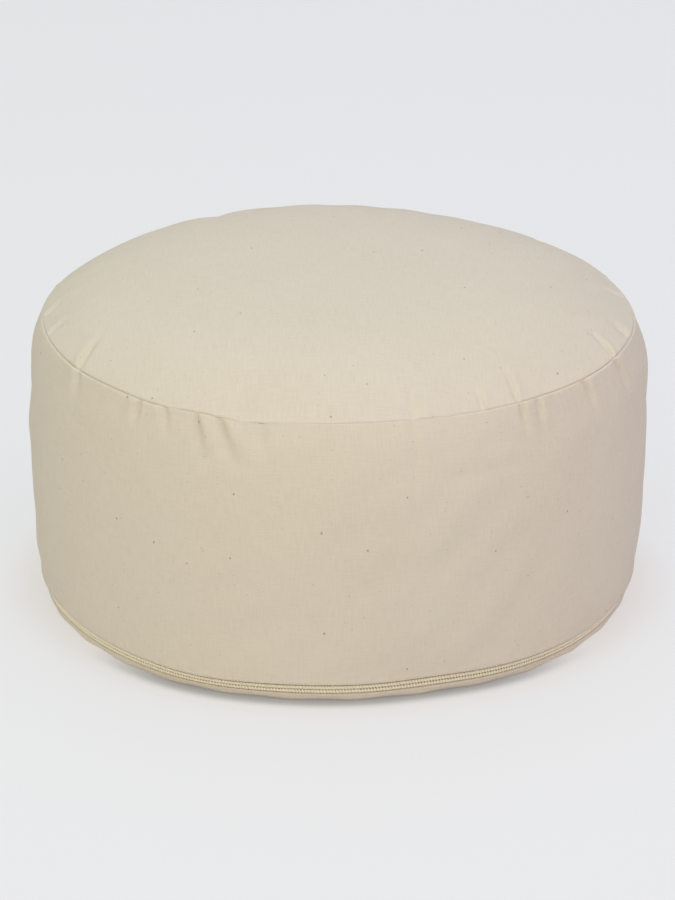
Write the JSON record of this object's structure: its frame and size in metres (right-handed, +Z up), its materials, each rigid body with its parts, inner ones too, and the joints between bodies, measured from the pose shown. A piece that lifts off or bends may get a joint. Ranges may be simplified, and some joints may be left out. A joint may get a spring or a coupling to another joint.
{
  "type": "zafu meditation cushion",
  "caption": "Round, firmly filled cotton canvas floor cushion with a domed top, upright side band, gathered top seam and a coil zip in the lower seam, to sit on in meditation.",
  "frame": {"origin": "centre of the flat base, on the surface that the cushion stands on", "axes": "+Z up through the crown, -Y towards the front, where the middle of the zip is, +X to the right seen from the front"},
  "size_m": [0.3202, 0.3205, 0.1759],
  "materials": {
    "canvas": "unbleached cotton canvas with brown seed flecks",
    "zip_tape": "fine woven cream tape",
    "zip_coil": "cream nylon coil, satin"
  },
  "bodies": {
    "root": {"cushion": "canvas", "zip_tape_lower": "zip_tape", "zip_tape_upper": "zip_tape", "zip_coil_lower": "zip_coil", "zip_coil_upper": "zip_coil"}
  },
  "joints": []
}
